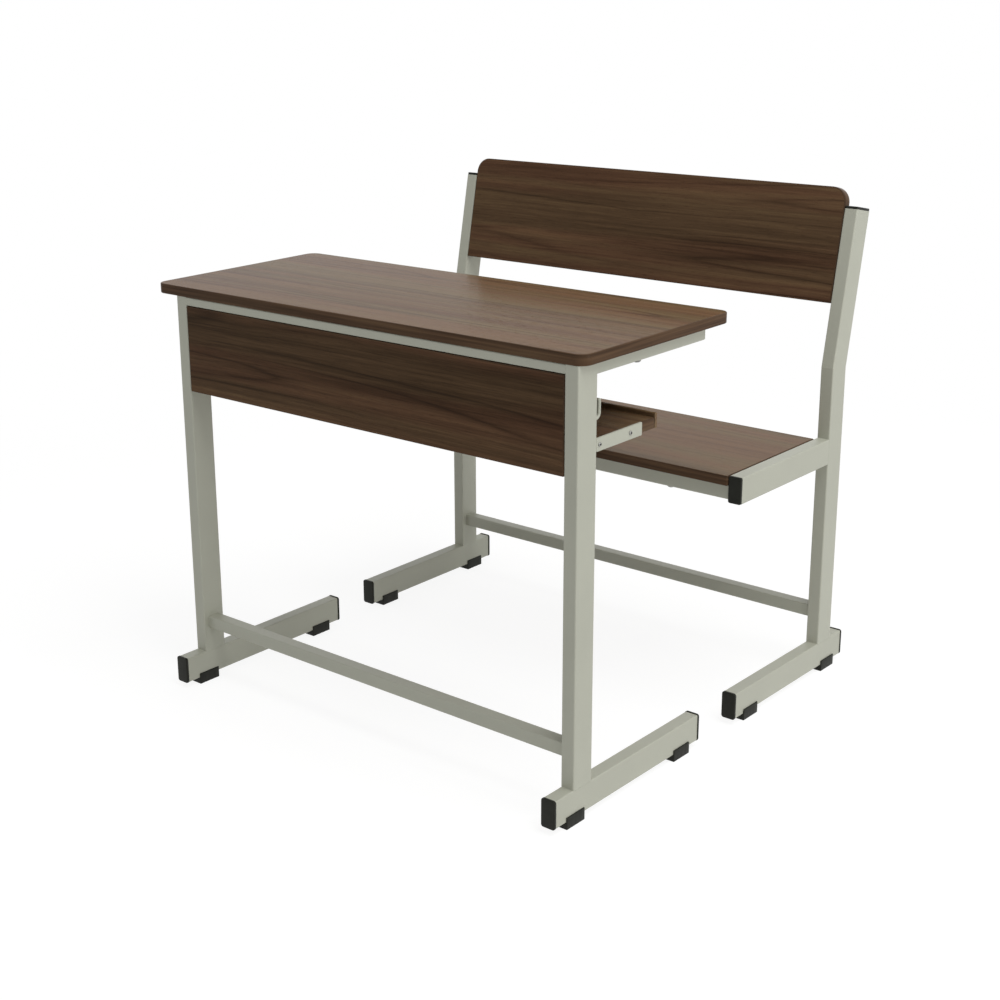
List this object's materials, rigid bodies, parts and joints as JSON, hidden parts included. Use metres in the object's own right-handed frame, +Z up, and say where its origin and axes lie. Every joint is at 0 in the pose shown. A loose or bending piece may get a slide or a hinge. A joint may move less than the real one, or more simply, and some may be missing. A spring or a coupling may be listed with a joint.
{
  "type": "school desk with bench",
  "caption": "School desk on a steel tube frame with a modesty panel and book shelf, and its free-standing bench with a sloping backrest.",
  "frame": {"origin": "on the floor, under the middle of the box round the desk and the bench together", "axes": "+Z up; X along the desk's width, +X on the left of the seated pupils; +Y from the desk towards the bench, so the pupils face -Y"},
  "size_m": [0.9546, 0.9158, 0.9097],
  "materials": {
    "laminate": "satin dark walnut laminate with long grain",
    "edging": "satin edge band in the same dark walnut",
    "frame_paint": "warm light grey powder coat",
    "black_plastic": "matt black moulded plastic",
    "screw_steel": "zinc-plated"
  },
  "bodies": {
    "desk": {"desk_top": "laminate", "modesty_panel": "laminate", "book_shelf": "laminate", "desk_top_edging": "edging", "modesty_panel_edging": "edging", "book_shelf_edging": "edging", "book_shelf_lip": "edging", "desk_front_rail": "frame_paint", "desk_rear_rail": "frame_paint", "desk_stretcher": "frame_paint", "desk_leg_left": "frame_paint", "desk_runner_left": "frame_paint", "desk_arm_left": "frame_paint", "shelf_bar_left": "frame_paint", "panel_tab_left": "frame_paint", "bag_hook_left": "frame_paint", "desk_leg_right": "frame_paint", "desk_runner_right": "frame_paint", "desk_arm_right": "frame_paint", "shelf_bar_right": "frame_paint", "panel_tab_right": "frame_paint", "bag_hook_right": "frame_paint", "desk_cap_front_left": "black_plastic", "desk_cap_front_right": "black_plastic", "desk_cap_rear_left": "black_plastic", "desk_cap_rear_right": "black_plastic", "desk_glide_front_left": "black_plastic", "desk_glide_front_right": "black_plastic", "desk_glide_rear_left": "black_plastic", "desk_glide_rear_right": "black_plastic", "desk_top_screws": "screw_steel", "shelf_screws": "screw_steel", "panel_screws": "screw_steel"},
    "bench": {"seat_board": "laminate", "backrest": "laminate", "seat_board_edging": "edging", "backrest_edging": "edging", "seat_front_rail": "frame_paint", "seat_rear_rail": "frame_paint", "bench_stretcher": "frame_paint", "bench_upright_left": "frame_paint", "bench_runner_left": "frame_paint", "seat_arm_left": "frame_paint", "backrest_tab_left": "frame_paint", "bench_upright_right": "frame_paint", "bench_runner_right": "frame_paint", "seat_arm_right": "frame_paint", "backrest_tab_right": "frame_paint", "bench_cap_front_left": "black_plastic", "bench_cap_front_right": "black_plastic", "bench_cap_rear_left": "black_plastic", "bench_cap_rear_right": "black_plastic", "bench_glide_front_left": "black_plastic", "bench_glide_front_right": "black_plastic", "bench_glide_rear_left": "black_plastic", "bench_glide_rear_right": "black_plastic", "seat_arm_caps": "black_plastic", "upright_caps": "black_plastic", "seat_screws": "screw_steel", "backrest_screws": "screw_steel"}
  },
  "joints": [
    {"name": "bench_slide", "type": "slide", "parent": "desk", "child": "bench", "axis": [0, 1, 0], "range_m": [-0.1, 0.35]}
  ]
}
